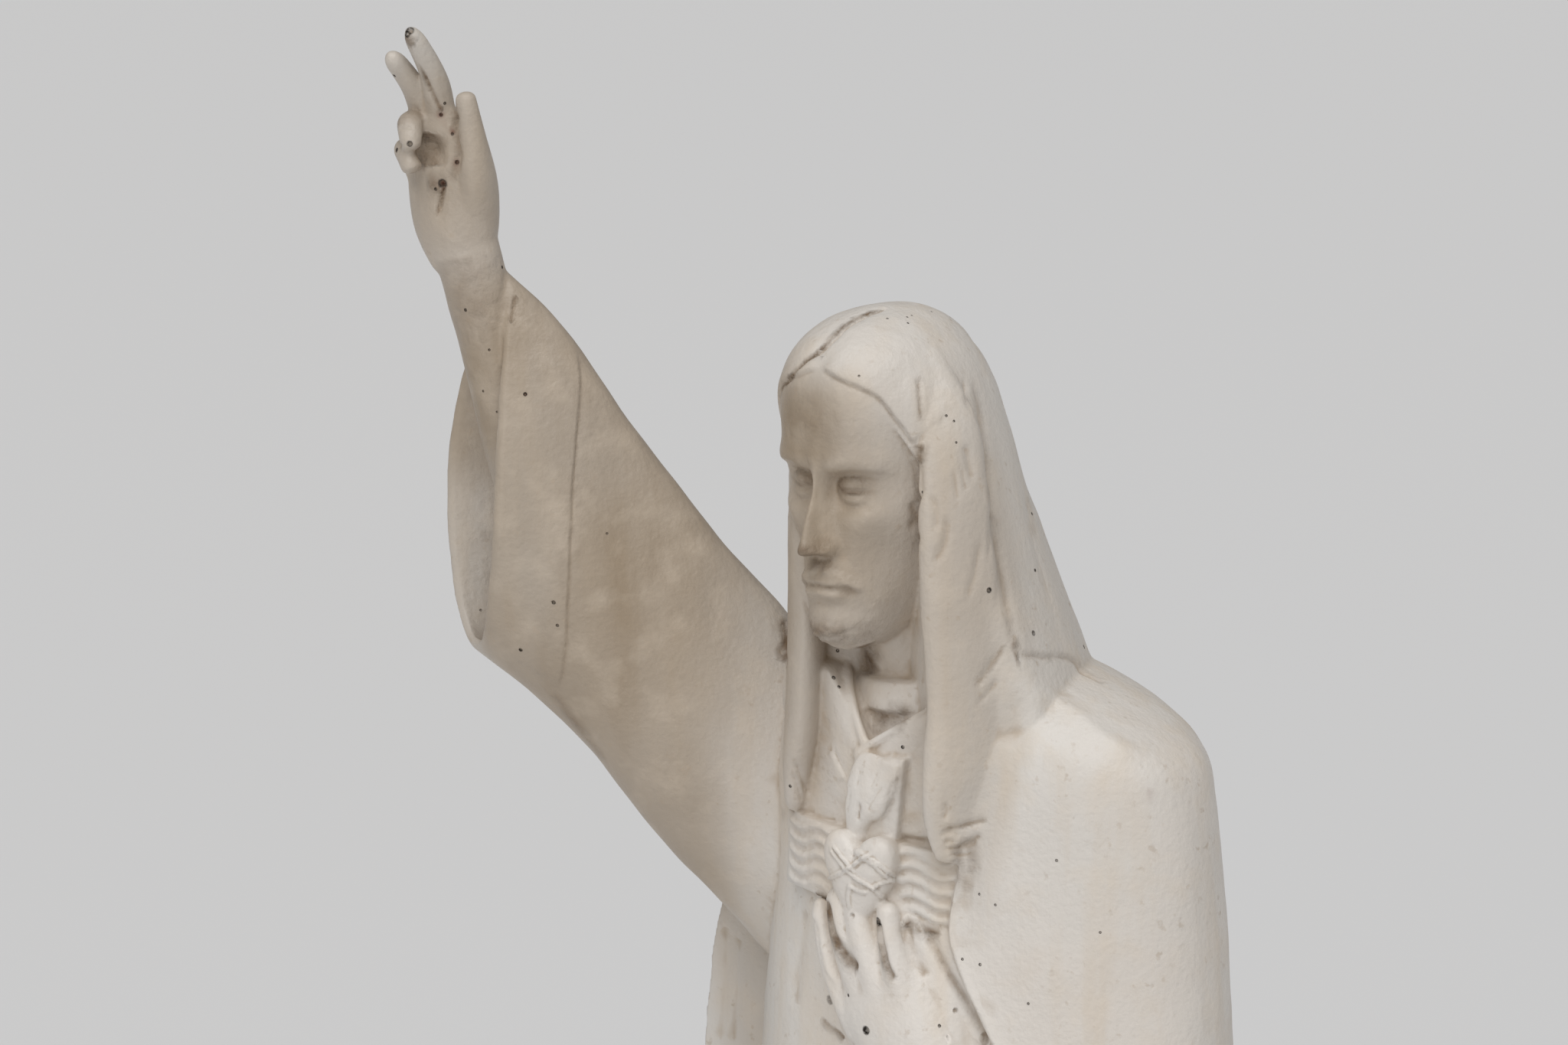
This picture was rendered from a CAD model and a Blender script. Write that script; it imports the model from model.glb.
import bpy
import bmesh
import math
import numpy as np
from mathutils import Matrix, Vector
from mathutils.bvhtree import BVHTree


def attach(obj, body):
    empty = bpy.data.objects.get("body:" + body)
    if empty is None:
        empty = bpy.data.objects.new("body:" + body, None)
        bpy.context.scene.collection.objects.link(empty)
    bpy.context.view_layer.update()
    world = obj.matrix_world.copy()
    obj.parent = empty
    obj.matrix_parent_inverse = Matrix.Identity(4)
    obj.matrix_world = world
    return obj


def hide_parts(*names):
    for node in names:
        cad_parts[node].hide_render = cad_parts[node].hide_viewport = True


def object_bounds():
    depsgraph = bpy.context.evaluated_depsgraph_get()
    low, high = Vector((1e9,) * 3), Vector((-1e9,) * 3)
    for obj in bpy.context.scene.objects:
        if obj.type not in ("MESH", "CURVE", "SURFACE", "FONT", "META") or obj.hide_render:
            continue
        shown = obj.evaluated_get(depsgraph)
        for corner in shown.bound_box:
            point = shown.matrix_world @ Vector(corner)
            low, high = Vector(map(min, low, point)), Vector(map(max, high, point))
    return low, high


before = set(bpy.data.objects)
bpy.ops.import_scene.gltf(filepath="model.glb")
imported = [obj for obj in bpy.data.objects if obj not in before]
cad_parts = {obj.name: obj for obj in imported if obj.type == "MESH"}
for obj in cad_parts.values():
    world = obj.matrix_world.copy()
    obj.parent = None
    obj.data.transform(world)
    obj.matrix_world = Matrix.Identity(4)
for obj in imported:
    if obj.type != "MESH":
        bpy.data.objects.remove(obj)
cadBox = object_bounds()

mm = 0.001  # every form below is worked out in millimetres

# where the photograph was taken from; pixels are those of the 2048 x 1365 picture
photo = {
    "wide": 2048, "high": 1365,
    "azimuth": math.radians(38), "rise": math.radians(11),
    "away": 2000.0, "focal": 7200.0, "sensor": 36,  # focal length in pixels, sensor in mm
    "look": np.array([-42.9, -33.5, 879.0]),
}
toCamera = np.array([math.cos(photo["rise"]) * math.sin(photo["azimuth"]),
                     -math.cos(photo["rise"]) * math.cos(photo["azimuth"]), math.sin(photo["rise"])])
toRight = np.array([math.cos(photo["azimuth"]), math.sin(photo["azimuth"]), 0.0])
toTop = np.cross(toCamera, toRight)
eye = photo["look"] + toCamera * photo["away"]


# small maths
def bell(x, width):
    return np.exp(-(np.asarray(x, float) / width) ** 2)


def smooth(x, low, high):
    t = np.clip((np.asarray(x, float) - low) / (high - low), 0, 1)
    return t * t * (3 - 2 * t)


def lerp(a, b, t):
    return a + (b - a) * t


def track(rows):
    # a smooth way through rows of numbers, looked up by the first number of each row
    rows = np.asarray(rows, float)
    key, values = rows[:, 0], rows[:, 1:]
    last = len(rows) - 1
    before = np.maximum(np.arange(len(rows)) - 1, 0)
    after = np.minimum(np.arange(len(rows)) + 1, last)
    slope = (values[after] - values[before]) / (key[after] - key[before])[:, None]

    def at(t):
        t = np.clip(np.atleast_1d(np.asarray(t, float)), key[0], key[last])
        i = np.clip(np.searchsorted(key, t, side="right") - 1, 0, last - 1)
        span = (key[i + 1] - key[i])[:, None]
        s = (t - key[i])[:, None] / span
        return ((1 + 2 * s) * (1 - s) ** 2 * values[i] + s * s * (3 - 2 * s) * values[i + 1]
                + s * (1 - s) ** 2 * span * slope[i] + s * s * (s - 1) * span * slope[i + 1])
    return at


def lookUp(way, z):
    # the columns of a track at an array of any shape
    found = way(np.ravel(z))
    return [found[:, i].reshape(np.shape(z)) for i in range(found.shape[1])]


def ovalRadius(theta, left, right, front, back, power=2.0):
    side = np.where(np.sin(theta) > 0, left, right)
    deep = np.where(np.cos(theta) > 0, front, back)
    return (np.abs(np.sin(theta) / side) ** power + np.abs(np.cos(theta) / deep) ** power) ** (-1 / power)


def polar(axis, theta, radius, z):
    # theta 0 is the front, a quarter turn is the figure's left
    theta, radius, z = np.broadcast_arrays(theta, radius, z)
    return np.stack([axis[0] + radius * np.sin(theta), axis[1] - radius * np.cos(theta), z], -1)


# every form is a closed shell; all go in one heap, which is fused afterwards
heap = {"verts": [], "faces": [], "count": 0}


def loft(rings):
    rings = np.asarray(rings, float)
    count, sides = rings.shape[:2]
    start = heap["count"]
    k = np.arange(sides)
    a = np.arange(count - 1)[:, None] * sides + k[None, :]
    b = np.arange(count - 1)[:, None] * sides + (k[None, :] + 1) % sides
    foot, top, crown = count * sides, (count - 1) * sides, count * sides + 1
    quads = np.stack([a, b, b + sides, a + sides], -1).reshape(-1, 4) + start
    low = np.stack([np.full(sides, foot), (k + 1) % sides, k], -1) + start
    high = np.stack([np.full(sides, crown), top + k, top + (k + 1) % sides], -1) + start
    heap["verts"].append(np.vstack([rings.reshape(-1, 3), rings[0].mean(0), rings[-1].mean(0)]))
    heap["faces"] += quads.tolist() + low.tolist() + high.tolist()
    heap["count"] += count * sides + 2


def limb(rows, thinWay, sides=40, spacing=1.0):
    # oval rings along a smooth line of x, y, z, half width, half thickness
    line = track([[i, *row] for i, row in enumerate(rows)])
    end = len(rows) - 1
    length = sum(math.dist(p[:3], q[:3]) for p, q in zip(rows, rows[1:]))
    t = np.linspace(0, end, max(10, int(length / spacing)))
    here = line(t)
    along = line(np.minimum(t + 0.05, end))[:, :3] - line(np.maximum(t - 0.05, 0))[:, :3]
    along /= np.linalg.norm(along, axis=1)[:, None]
    wideWay = np.cross(along, np.asarray(thinWay, float))
    wideWay /= np.linalg.norm(wideWay, axis=1)[:, None]
    flatWay = np.cross(wideWay, along)
    lid = np.clip(1 - (end - t) / 0.35, 0, 1)  # the far end closes in a round cap
    cap = np.sqrt(np.maximum(1 - lid ** 2, 0.003))[:, None]
    a = np.linspace(0, 2 * math.pi, sides, endpoint=False)[None, :]
    across = (here[:, 3:4] * cap * np.cos(a))[..., None] * wideWay[:, None, :]
    out = (here[:, 4:5] * cap * np.sin(a))[..., None] * flatWay[:, None, :]
    loft(here[:, None, :3] + across + out)


# the low base: an oblong block with cut corners and a chamfered top edge
base = {"tall": 36.0, "wide": 118.0, "deep": 96.0, "chamfer": 5.0, "cut": 34.0}


def makeBase():
    def ring(inset, z):
        w, d, cut = base["wide"] - inset, base["deep"] - inset, base["cut"]
        flat = [(-w + cut, -d), (w - cut, -d), (w, -d + cut), (w, d - cut),
                (w - cut, d), (-w + cut, d), (-w, d - cut), (-w, -d + cut)]
        return [(x, y, z) for x, y in flat]
    tall, chamfer = base["tall"], base["chamfer"]
    loft([ring(0, 0), ring(0, tall - chamfer), ring(chamfer * 0.3, tall - chamfer * 0.3), ring(chamfer, tall)])


# the robe: an oval column with pleats that deepen towards the hem
robe = {
    "axis": (0.0, 6.0),
    "size": track([[30, 90, 72, 68], [80, 86, 67, 64], [200, 80, 59, 58], [380, 75, 54, 54],
                   [520, 77, 53, 54], [620, 76, 49, 51], [690, 73, 47, 50], [750, 66, 46, 49],
                   [790, 66, 44, 48], [812, 60, 40, 42], [826, 46, 34, 34], [838, 24, 22, 22]]),
    "power": 2.15,
    "foot": 30, "neck": 838,
    "pleats": 15, "second": 0.18, "slow": 0.22,  # a finer and a slower wave go over the pleats
    "sway": 0.35, "swayRise": 90, "slowRise": 70,
    "pleatDepth": track([[36, 5.5], [300, 3.6], [560, 1.2], [680, 0]]),
}


def robeRadius(theta, z):
    side, front, back = lookUp(robe["size"], z)
    depth, = lookUp(robe["pleatDepth"], z)
    turn = robe["pleats"] * theta + robe["sway"] * np.sin(z / robe["swayRise"])
    slow = robe["slow"] * np.cos(0.4 * turn + z / robe["slowRise"])
    pleat = np.cos(turn) - robe["second"] * np.cos(2 * turn) + slow
    return ovalRadius(theta, side, side, front, back, robe["power"]) + depth * pleat


def makeRobe():
    z = np.linspace(robe["foot"], robe["neck"], 320)[:, None]
    theta = np.linspace(-math.pi, math.pi, 420, endpoint=False)[None, :]
    loft(polar(robe["axis"], theta, robeRadius(theta, z), z))


# the cloak, cast solid onto the robe: over the left arm, the back and the right side
cloak = {
    "size": track([[58, 103, 108, 68, 80], [200, 99, 108, 64, 73], [400, 103, 113, 61, 69],
                   [560, 115, 121, 58, 67], [640, 122, 121, 57, 65], [700, 120, 114, 54, 63],
                   [750, 116, 98, 51, 60], [790, 112, 82, 49, 58], [806, 106, 74, 47, 55],
                   [818, 88, 64, 43, 50], [828, 62, 52, 37, 43], [837, 34, 34, 27, 33]]),
    "power": 2.2,
    "opens": track([[58, 45], [400, 50], [560, 55], [640, 60], [670, 58.5], [702, 50.5],
                    [735, 39.5], [747, 38.5], [772, 42], [837, 42]]),
    "closes": track([[58, 262], [560, 264.5], [700, 266.5], [760, 266.5], [837, 275]]),
    "foot": 58, "neck": 837,
    "folds": 11, "foldDepth": 1.6, "foldRise": 160,
    "roll": 2.2, "rollReach": 0.035, "rollEnds": (735, 790),  # the front edge thickens in a soft roll
    "bite": 0.6,  # how far in its hidden side sits, as a share of the radius
}


def cloakRadius(theta, z):
    left, right, front, back = lookUp(cloak["size"], z)
    hang = 1 - smooth(z, 420, 700)
    folds = cloak["foldDepth"] * hang * np.cos(cloak["folds"] * theta + z / cloak["foldRise"])
    return ovalRadius(theta, left, right, front, back, cloak["power"]) + folds


def makeCloak():
    z = np.linspace(cloak["foot"], cloak["neck"], 480)[:, None]
    opens, closes = (np.radians(cloak[name](z[:, 0])) for name in ("opens", "closes"))
    theta = lerp(opens, closes, np.linspace(0, 1, 320)[None, :])
    roll = cloak["roll"] * np.exp(-(theta - opens) / cloak["rollReach"]) * (1 - smooth(z, *cloak["rollEnds"]))
    outer = polar(robe["axis"], theta, cloakRadius(theta, z) + roll, z)
    back = theta[:, ::-10]
    inside = cloak["bite"] * np.minimum(robeRadius(back, z), cloakRadius(back, z))
    loft(np.concatenate([outer, polar(robe["axis"], back, inside, z)], 1))


# the raised right sleeve: a flat bell whose sections stand upright across the arm
sleeve = {
    "root": np.array([-62.0, 5.0, 0.0]),
    "away": np.array([-0.8, -0.6, 0.0]),
    "side": np.array([0.6, -0.8, 0.0]),
    "size": track([[-24, 812, 694, 40], [0, 828, 697, 32], [12, 842, 704, 27], [30, 862, 724, 24],
                   [60, 901, 757, 23], [80, 927, 785, 24], [92, 942, 799, 24.5],
                   [104, 954, 811, 25], [117, 965, 822, 25]]),
    "begins": -24.0, "reach": 117.0, "mouthDepth": 34.0, "wall": 4.5, "rim": 1.4, "floor": 11.0,
    "lean": 0.085, "turn": 0.45, "bow": 6.0, "flaresFrom": 60,
    "full": 0.98, "thinTop": 0.3, "belly": 0.06, "bellyAt": -0.45, "bellyReach": 0.5, "corner": 0.8,
}


def sleeveRing(s, a, inset):
    top, bottom, half = (column[:, None] for column in lookUp(sleeve["size"], s))
    middle, tall = (top + bottom) / 2, (top - bottom) / 2
    v = np.sin(a)[None, :]
    belly = sleeve["belly"] * bell(v - sleeve["bellyAt"], sleeve["bellyReach"])
    full = sleeve["full"] - sleeve["thinTop"] * smooth(v, -0.1, 1) + belly
    across = (half - inset) * full * np.sign(np.cos(a)) * np.abs(np.cos(a)) ** sleeve["corner"]
    z = middle + (tall - inset) * v
    flare = smooth(s, sleeve["flaresFrom"], sleeve["reach"])[:, None]
    lean = (middle - z) * sleeve["lean"] - across * sleeve["turn"] + sleeve["bow"] * (1 - v * v)
    out = s[:, None] + lean * flare
    p = sleeve["root"] + out[..., None] * sleeve["away"] + across[..., None] * sleeve["side"]
    p[..., 2] = z
    return p


def makeSleeve():
    a = np.linspace(0, 2 * math.pi, 260, endpoint=False)
    reach, wall, deepest = sleeve["reach"], sleeve["wall"], sleeve["reach"] - sleeve["mouthDepth"]
    outer = sleeveRing(np.linspace(sleeve["begins"], reach, 150), a, 0)
    rim = sleeveRing(np.full(1, reach + sleeve["rim"]), a, wall / 2)
    back = np.linspace(reach, deepest, 34)
    closing = sleeve["floor"] * (1 - smooth(back, deepest - 1, reach - 18))[:, None]
    loft(np.concatenate([outer, rim, sleeveRing(back, a, wall + closing)]))


# the raised hand stands on three ways: towards its thumb, out of its palm and up
hand = {
    "wrist": np.array([-160.0, -70.0, 964.0]),
    "thumbWay": np.array([0.98, 0.2, 0.0]),
    "palmWay": np.array([0.2, -0.98, 0.0]),
    "forearm": [[-112, -33, 826, 16, 15], [-138, -52, 868, 15, 14.5], [-153, -64, 930, 12.5, 11.5]],
    # towards the thumb, out of the palm, up, half width, half thickness
    "palm": [[0, 0, 3, 12.6, 9.6], [-3, 1, 10.5, 14.4, 9.8], [-5.3, 2, 19, 16, 9.8], [-6.7, 3, 30.6, 16.4, 9],
             [-7.7, 4, 42, 15.6, 8.2], [-10.5, 5, 53, 12.8, 6.8], [-12, 5.5, 61, 9, 5]],
    "fingers": {
        "index": [[-8.5, 4, 50, 5.4, 5], [-8.8, 6.5, 62, 5.2, 4.9], [-9.6, 11, 75.5, 4.6, 4.5],
                  [-13.4, 21, 92, 3.2, 3.1]],
        "middle": [[-14, 4, 48, 5, 4.8], [-16.2, 6, 59, 4.8, 4.6], [-18.4, 10, 69.5, 4.2, 4.1],
                   [-22.5, 20, 82, 3.3, 3.2]],
        "ring": [[-16.5, 2, 41, 5.2, 5.2], [-18.6, 6.5, 52.5, 4.8, 4.8], [-17.2, 14, 55.5, 4.5, 4.5],
                 [-14.4, 18.5, 51.5, 4.3, 4.3], [-13, 19.5, 46.5, 3.9, 3.9]],
        "little": [[-18.5, 1, 31, 4.8, 4.8], [-21.3, 6, 42, 4.5, 4.5], [-20, 12.5, 45.9, 4.3, 4.3],
                   [-16, 17, 43, 4.1, 4.1], [-13.6, 18, 38.4, 3.8, 3.8]],
        "thumb": [[-2, -2, 0, 8, 7], [1.7, 0.2, 19, 8.8, 8.6], [5.9, 5.2, 36, 6.8, 7.2], [7, 10, 51, 5.1, 5.1],
                  [6.2, 12.6, 62, 4.4, 4.3], [5.4, 13, 69, 3.7, 3.6]],
        "heel": [[-9, 0, 6, 6, 6], [-14.5, 2, 17, 6.8, 7], [-17.6, 2.5, 30, 6, 6.5], [-18.6, 3, 40, 5, 5]],
    },
}


def handRow(thumb, palm, up, *sizes):
    p = hand["wrist"] + thumb * hand["thumbWay"] + palm * hand["palmWay"] + [0, 0, up]
    return [*p, *sizes]


def makeRaisedHand():
    limb(hand["forearm"] + [handRow(*row) for row in hand["palm"]], hand["palmWay"])
    for name, rows in hand["fingers"].items():
        thin = [0.98, 0.2, 0.2] if name in ("ring", "little") else hand["palmWay"]
        limb([handRow(*row) for row in rows], thin, 28, 0.8)


# the left arm lies bent across the body, its hand pressed flat to the chest under the heart
chestHand = {
    "arm": [[98, 8, 626, 27, 27], [80, -20, 640, 25, 23], [62, -36, 656, 21, 19], [54, -41, 664, 19, 17]],
    "cuff": [[6, -30, 754, 25, 13.2], [20, -31, 730, 30, 14], [36, -27.5, 700, 32, 15.5], [58, -20, 664, 30, 17]],
    "bed": [[0, -34, 758, 19, 13], [5, -36.4, 742, 23, 13.6], [11, -38, 724, 28, 13.6], [20, -38, 700, 28, 14],
            [36, -31, 672, 26, 16]],
    "back": [[66, -30, 640, 16, 12], [46, -42, 664, 16, 11], [31, -46, 686, 19, 10], [20, -47.5, 704, 20, 9],
             [14, -48, 716, 19, 7.6], [9, -47, 727, 16, 5.5]],
    "fingers": [
        [[4, -48.5, 698, 4.6, 4.4], [-4.4, -49.4, 713, 4.2, 4.2], [-12, -48.2, 730, 3.4, 3.8],
         [-17, -45.5, 745, 2.4, 3]],
        [[11, -49.5, 704, 6, 5], [4.2, -50.6, 721, 6, 5], [-2, -50.8, 737, 5.6, 4.8], [-6.5, -49, 752, 4.6, 4]],
        [[17, -50, 706, 6, 5], [12, -51.2, 721, 5.8, 5], [6.4, -51.4, 736, 5.2, 4.8], [2, -50, 750, 4.6, 4]],
        [[26, -49, 704, 6.4, 5], [23, -50.4, 721, 6, 5], [18.6, -50.4, 737, 4.8, 4.6], [15.8, -48.6, 750, 3.8, 3.8]],
        [[40, -40.5, 690, 9, 6.5], [37, -41, 708, 8, 6], [33, -40, 724, 7, 5.4], [29, -38, 738, 5, 4]],
    ],
}


def makeChestHand():
    front = [0.05, -1, 0]
    for name in ("arm", "cuff", "bed", "back"):
        limb(chestHand[name], front)
    for rows in chestHand["fingers"]:
        limb(rows, front, 28, 0.8)


# neck with a plain standing collar
neck = {
    "throat": [[-1, -6, 800, 19, 19], [-2, -10, 830, 17.5, 18], [-4, -18, 862, 18, 20], [-4, -24, 888, 16, 18]],
    "collar": [[803, 25.5, 24.5], [814.6, 24.2, 23.6], [815.4, 25.4, 25], [816.4, 26, 25.8], [824.4, 24, 24.6],
               [826, 23, 23.8], [826.8, 21, 21.5]],  # height, half width, front
    "middle": (2.0, -10.0),
}


def makeNeck():
    limb(neck["throat"], [0, -1, 0])
    theta = np.linspace(-math.pi, math.pi, 160, endpoint=False)
    rings = []
    for z, wide, front in neck["collar"]:
        lean = 4 * (1 - np.cos(theta)) / 2  # the collar stands higher at the nape
        rings.append(polar(neck["middle"], theta, ovalRadius(theta, wide, wide, front, front + 6), z + lean))
    loft(rings)


# the head, in its own frame: side, back and height above the chin
head = {
    "axis": (-4.0, -26.0), "chin": 843.5, "tall": 115.5,
    "pitch": math.radians(5), "yaw": math.radians(-3),
    # height above the chin, half width, front, back
    "size": track([[-3, 5, 24, 2], [0, 9.5, 30, 4], [5, 14.5, 34.5, 8], [13, 19.2, 36.2, 14], [24, 23.6, 35.6, 22],
                   [36, 27.2, 35, 30], [50, 30.2, 35, 37], [60, 31, 35.3, 41], [72, 31.2, 37.3, 43],
                   [88, 31, 37.5, 44], [101, 28.5, 34, 41], [110, 22.5, 27, 33], [116, 13, 16, 20],
                   [118.5, 3, 4, 5]]),
}

# a plain face on school proportions: brow, nose and mouth a third of the face apart, eyes at half height
face = {
    "brow": 67.0, "eye": 59.0, "noseFoot": 35.5, "mouth": 24.2,
    "eyeSide": 12.6, "eyeHalf": 7.0, "ball": 9.0, "mouthHalf": 9.4, "noseTall": 30.0,
    # side and its reach, height and its reach, how far it swells
    "noseForms": [(0, 3.4, 3.8, 3.2, 1.5), (5.2, 2.0, 2.2, 2.8, 4.2), (7.6, 1.3, 3.2, 3.4, -0.9),
                  (3.2, 1.5, -0.7, 1.2, -2.4)],  # tip, wing, groove and nostril, over the foot of the nose
    "forms": [(19.5, 7.0, 49, 6.5, 2.4), (19.5, 6.5, 32, 10, -2.5), (0, 12.5, 25.2, 8.5, 2.8),
              (0, 9.0, 7.5, 6.0, 3.0)],  # cheekbone, cheek, barrel of the mouth and chin
}


def swellings(forms, side, h):
    return sum(high * bell(side - across, wide) * bell(h - up, tall) for across, wide, up, tall, high in forms)


def faceRelief(x, h):
    side = np.abs(x)
    ex, ez = side - face["eyeSide"], h - face["eye"]
    brow = face["brow"] + 1.2 - 0.022 * (side - 14) ** 2
    ledge = 2.9 * bell(np.maximum(h - brow, 0), 5.5) * smooth(h - brow, -2.6, 0.4) * smooth(side, 1, 8)
    browRidge = ledge * (1 - smooth(side, 20, 29))
    hollow = swellings([(-0.8, 9.0, 1.2, 7.0, -6.6)], ex, ez) + swellings([(5.2, 3.2, 0.8, 5.5, -2.2)], side, ez)
    # the eyeball under its lids; the look is lowered
    ball = np.sqrt(np.maximum(face["ball"] ** 2 - ex ** 2 - (ez + 0.9) ** 2, 0)) - face["ball"]
    arch = 1 - (ex / face["eyeHalf"]) ** 2
    upper, lower = 0.9 * arch - 0.02 * ex, -2.7 * arch
    shut = np.maximum(smooth(ez, upper - 0.45, upper + 0.45), 1 - smooth(ez, lower - 0.5, lower + 0.5))
    lids = -2.0 + ball + 1.5 * np.where(arch > 0, shut, 1)
    offBall = np.hypot(ex / 9.2, (ez + 0.9) / 7.4)
    sockets = lerp(hollow, np.maximum(hollow, lids), 1 - smooth(offBall, 0.78, 1.0))
    crease = -1.5 * bell(ez - 3.4 - 1.6 * arch, 1.0) * (1 - smooth(np.abs(ex), 6, 9.5)) - 0.8 * bell(
        ez + 6.0, 1.3) * (1 - smooth(np.abs(ex), 4, 9))
    n = h - face["noseFoot"]
    wide = lerp(4.0, 2.8, smooth(n, 2, 18))
    ridge = (3.2 + 7.6 * (1 - smooth(n, 3, 3 + face["noseTall"]))) * smooth(n, -1.2, 2.4)
    nose = ridge * np.exp(-np.abs(x / wide) ** 2.3) * (1 - smooth(h, face["brow"] - 7, face["brow"] + 9))
    nose = nose + swellings(face["noseForms"], side, n)
    fold = -0.8 * bell(side - 7.4 - (2 - n) * 0.5, 1.7) * smooth(h, 24, 29) * (1 - smooth(h, 35, 39))
    mouthLine = face["mouth"] + 0.4 * bell(x, 2.4) - 0.014 * x * x
    m = h - mouthLine
    onMouth = 1 - smooth(side, face["mouthHalf"] - 4, face["mouthHalf"] + 1)
    lips = onMouth * (1.3 * bell(m - 1.8, 1.35) + 1.7 * bell(m + 2.5, 1.8)) - 1.9 * bell(m, 0.8) * (
        1 - smooth(side, face["mouthHalf"] - 1, face["mouthHalf"] + 1.5))
    corner = -1.3 * bell(side - face["mouthHalf"] - 0.6, 1.9) * bell(m + 0.4, 2.0)
    underLip = -1.4 * bell(x, 7) * bell(m + 6.4, 1.9)
    philtrum = -0.6 * bell(x, 1.3) * smooth(h, 27, 29) * (1 - smooth(h, 32, 35))
    # a thin moustache runs down past the corners of the mouth into a short chin beard
    whiskerLine = 30.6 - 0.30 * np.maximum(side - 1.5, 0) - 0.022 * side ** 2
    whisker = 1.3 * bell(h - whiskerLine, 1.9) * smooth(side, 0.6, 2.4) * (1 - smooth(side, 13, 16))
    jaw = 1.2 * smooth(16 - h, 0, 6) * bell(side - 10, 9)
    # small curls in the beard
    onWhisker = 0.6 * bell(h - whiskerLine, 2.4) * smooth(side, 1, 3) * (1 - smooth(side, 13, 16))
    bearded = bell(x, 15) * bell(h - 6, 7.5) + onWhisker
    curl = np.abs(np.sin(x + 1.6 * np.sin(0.8 * h))) * np.abs(np.sin(0.95 * h + 1.2 * np.sin(0.6 * x)))
    parts = (browRidge + sockets + crease + nose + fold + swellings(face["forms"], side, h) + lips + corner
             + underLip + philtrum + whisker + jaw + 1.5 * bearded * (curl - 0.4))
    return bell(x, 46) * parts


headTurn = np.array(Matrix.Rotation(head["yaw"], 3, "Z") @ Matrix.Rotation(head["pitch"], 3, "X"))
headMiddle = np.array([0, 0, head["tall"] / 2])


def headPlace(p):
    # from the head's own frame to the figure
    return (p - headMiddle) @ headTurn.T + [*head["axis"], head["chin"]] + headMiddle


def makeHead():
    h = np.concatenate([np.linspace(-3, 80, 200), np.linspace(80.5, 118.5, 50)])[:, None]
    theta = np.radians(np.concatenate([np.linspace(-82, 82, 240), np.linspace(83, 277, 60)]))[None, :]
    side, front, back = lookUp(head["size"], h)
    plain = ovalRadius(theta, side, side, front, back, 2.1)
    relief = np.where(np.cos(theta) > 0, faceRelief(plain * np.sin(theta), h) * np.cos(theta), 0)
    x, y = (plain + relief) * np.sin(theta), -(plain + relief) * np.cos(theta)
    loft(headPlace(np.stack([x, y, h * np.ones_like(x)], -1)))


# the hair: parted in the middle, close over the skull, spreading down the back to the shoulders
hair = {
    "axis": (-3.0, -22.0),
    "size": track([[808, 66, 46, 20, 84], [818, 68, 46, 20, 88], [825, 67, 45, 20, 85], [838, 62.5, 43, 22, 80],
                   [853, 57.5, 41, 24, 73], [866, 53, 39, 26, 67], [881, 49, 37, 28, 61], [894, 45.5, 36, 34, 55],
                   [909, 42, 35, 36.5, 50], [922, 38.5, 34, 39, 45], [935, 34.5, 32.5, 40.5, 40],
                   [946.4, 28.5, 27.5, 34.5, 32], [953.6, 21, 20, 24, 22], [959, 11, 11, 13, 11], [961, 3, 3, 4, 3]]),
    "power": 2.05,
    "opens": track([[808, 62], [866, 60], [890, 58], [905, 54], [918, 44], [930, 30], [940, 14], [947, 1]]),
    "bite": 0.26,
    # the waves down the back: their turns, depth and where they fade in and out
    "waves": (19, 31), "waveDepth": 0.55, "wavesFrom": (105, 125), "wavesTo": (235, 255),
    "wavesAbove": (822, 834), "wavesBelow": (925, 950),
}


def hairRadius(theta, z):
    left, right, front, back = lookUp(hair["size"], z)
    return ovalRadius(theta, left, right, front, back, hair["power"])


def makeHair():
    z = np.linspace(808, 961, 180)[:, None]
    opens = np.radians(hair["opens"](z[:, 0]))
    theta = lerp(opens, 2 * math.pi - opens, np.linspace(0, 1, 340)[None, :])
    radius = hairRadius(theta, z)
    outer = polar(hair["axis"], theta, radius, z)
    loft(np.concatenate([outer, polar(hair["axis"], theta, hair["bite"] * radius, z)[:, ::-17]], 1))


# one long lock on each side falls in front of the shoulder to the emblem
locks = {
    # side, front, height, half length, half thickness
    "near": [[18, -34, 946, 8, 4.5], [32, -36, 922, 11, 5.5], [35.5, -37.5, 900, 13, 6], [37.5, -36, 876, 14.5, 6.5],
             [40, -35.5, 850, 16, 7], [43, -36.5, 826, 16.5, 7], [43, -40, 804, 15, 5.8], [42, -41.4, 790, 13.5, 4.2],
             [41.5, -41.6, 779, 11.5, 2.8], [42, -40.4, 766, 8.5, 1.4]],
    "far": [[-17, -36, 946, 8, 4.5], [-27, -38, 922, 10, 5.5], [-29.5, -37, 900, 12, 6.3], [-29.5, -37, 876, 13, 6.8],
            [-29.5, -37, 850, 14, 6.8], [-29.5, -38, 826, 14, 6.8], [-30, -39.5, 806, 11.5, 6.3],
            [-31.5, -40.5, 790, 8, 5.5], [-32.5, -41, 774, 3.4, 3.4]],
}


def makeLocks():
    limb(locks["near"], [0.82, -0.57, 0], 90)
    limb(locks["far"], [-0.82, -0.57, 0], 90)


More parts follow.
